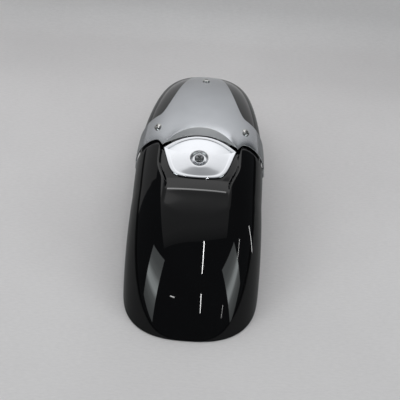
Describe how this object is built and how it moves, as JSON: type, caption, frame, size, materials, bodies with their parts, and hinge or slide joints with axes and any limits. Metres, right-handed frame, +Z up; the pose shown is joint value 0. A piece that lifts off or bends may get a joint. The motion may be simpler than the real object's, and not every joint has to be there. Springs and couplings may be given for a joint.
{
  "type": "motorcycle front fender",
  "caption": "Arched front fender for a cruiser motorcycle: gloss black shells joined by a bright top cover with a dished centre cap, on a hidden steel stay for the fork.",
  "frame": {"origin": "middle of the overall box on the plane that the two tips stand on", "axes": "+Z up to the crown, -Y towards the nose that leads on the road, +X towards the rider's left, parallel to the axle"},
  "size_m": [0.22, 0.637, 0.2085],
  "materials": {
    "gloss_black": "deep gloss",
    "satin_chrome": "satin bright",
    "polished_chrome": "polished bright",
    "washer_chrome": "polished bright",
    "dark_screw": "dark plated",
    "zinc_steel": "zinc plated",
    "stay_black": "satin powder coat",
    "black_rubber": "matt"
  },
  "bodies": {
    "root": {"front_fender": "gloss_black", "rear_fender": "gloss_black", "top_cover": "satin_chrome", "centre_cap": "polished_chrome", "cap_washer": "washer_chrome", "cap_screw": "dark_screw", "cap_nut": "zinc_steel", "side_screw_left": "dark_screw", "side_screw_right": "dark_screw", "side_spacer_left": "black_rubber", "side_spacer_right": "black_rubber", "side_nut_left": "zinc_steel", "side_nut_right": "zinc_steel", "tongue_screw": "dark_screw", "tongue_spacer": "black_rubber", "tongue_nut": "zinc_steel", "fender_stay": "stay_black", "upper_grommet_left": "black_rubber", "upper_grommet_right": "black_rubber", "lower_grommet_left": "black_rubber", "lower_grommet_right": "black_rubber", "upper_collar_left": "zinc_steel", "upper_collar_right": "zinc_steel", "lower_collar_left": "zinc_steel", "lower_collar_right": "zinc_steel"}
  },
  "joints": []
}
